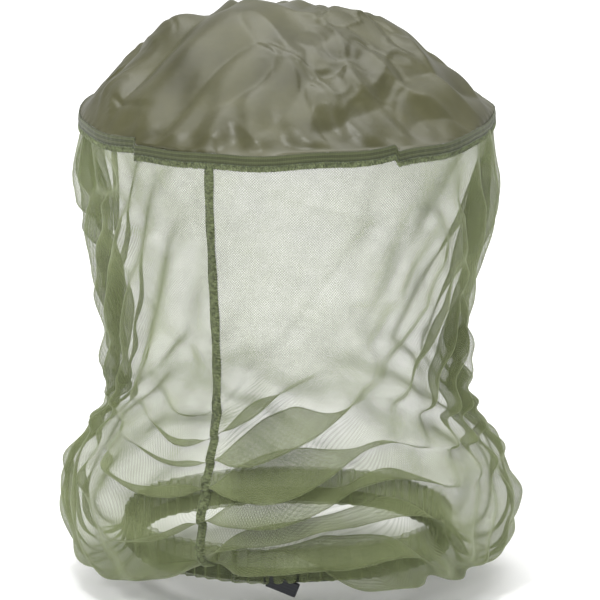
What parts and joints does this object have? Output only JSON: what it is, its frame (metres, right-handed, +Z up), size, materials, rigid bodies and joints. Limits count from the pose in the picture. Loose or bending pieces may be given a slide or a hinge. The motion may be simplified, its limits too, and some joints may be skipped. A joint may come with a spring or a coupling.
{
  "type": "pull-on insect head veil",
  "caption": "Pull-on head veil: gathered cloth crown, fine net skirt and elastic neck hem with a pull loop, keeping bees and insects off the face.",
  "frame": {"origin": "top of the crown on its inner face, where it sits on the wearer's head", "axes": "+Z up, -Y towards the front, the side where the pull loop hangs, +X to the right as seen from the front"},
  "size_m": [0.2748, 0.2629, 0.346],
  "materials": {
    "crown_cloth": "satin, creased",
    "olive_thread": "matte overlock thread",
    "dark_thread": "matte thread",
    "net": "fine sheer net",
    "hem_net": "doubled sheer net",
    "black_elastic": "ribbed woven elastic"
  },
  "bodies": {
    "crown": {"crown_panel": "crown_cloth", "crown_band": "crown_cloth", "crown_overlock": "olive_thread", "crown_topstitch": "dark_thread", "veil_net": "net", "side_seam": "olive_thread"},
    "hem": {"hem_casing": "hem_net", "hem_seam_end": "olive_thread", "hem_stitching": "olive_thread", "neck_elastic": "black_elastic", "elastic_join_stitch": "dark_thread", "loop_bartack": "dark_thread"},
    "loop": {"pull_loop": "black_elastic"}
  },
  "joints": [
    {"name": "hem_lift", "type": "slide", "parent": "crown", "child": "hem", "axis": [0, 0, 1], "range_m": [0, 0.1], "deforming": ["veil_net", "side_seam"]},
    {"name": "loop_swing", "type": "hinge", "parent": "hem", "child": "loop", "pos_m": [-0.004, -0.09515, -0.33745], "axis": [1, 0, 0], "range_deg": [-75, 60]}
  ]
}
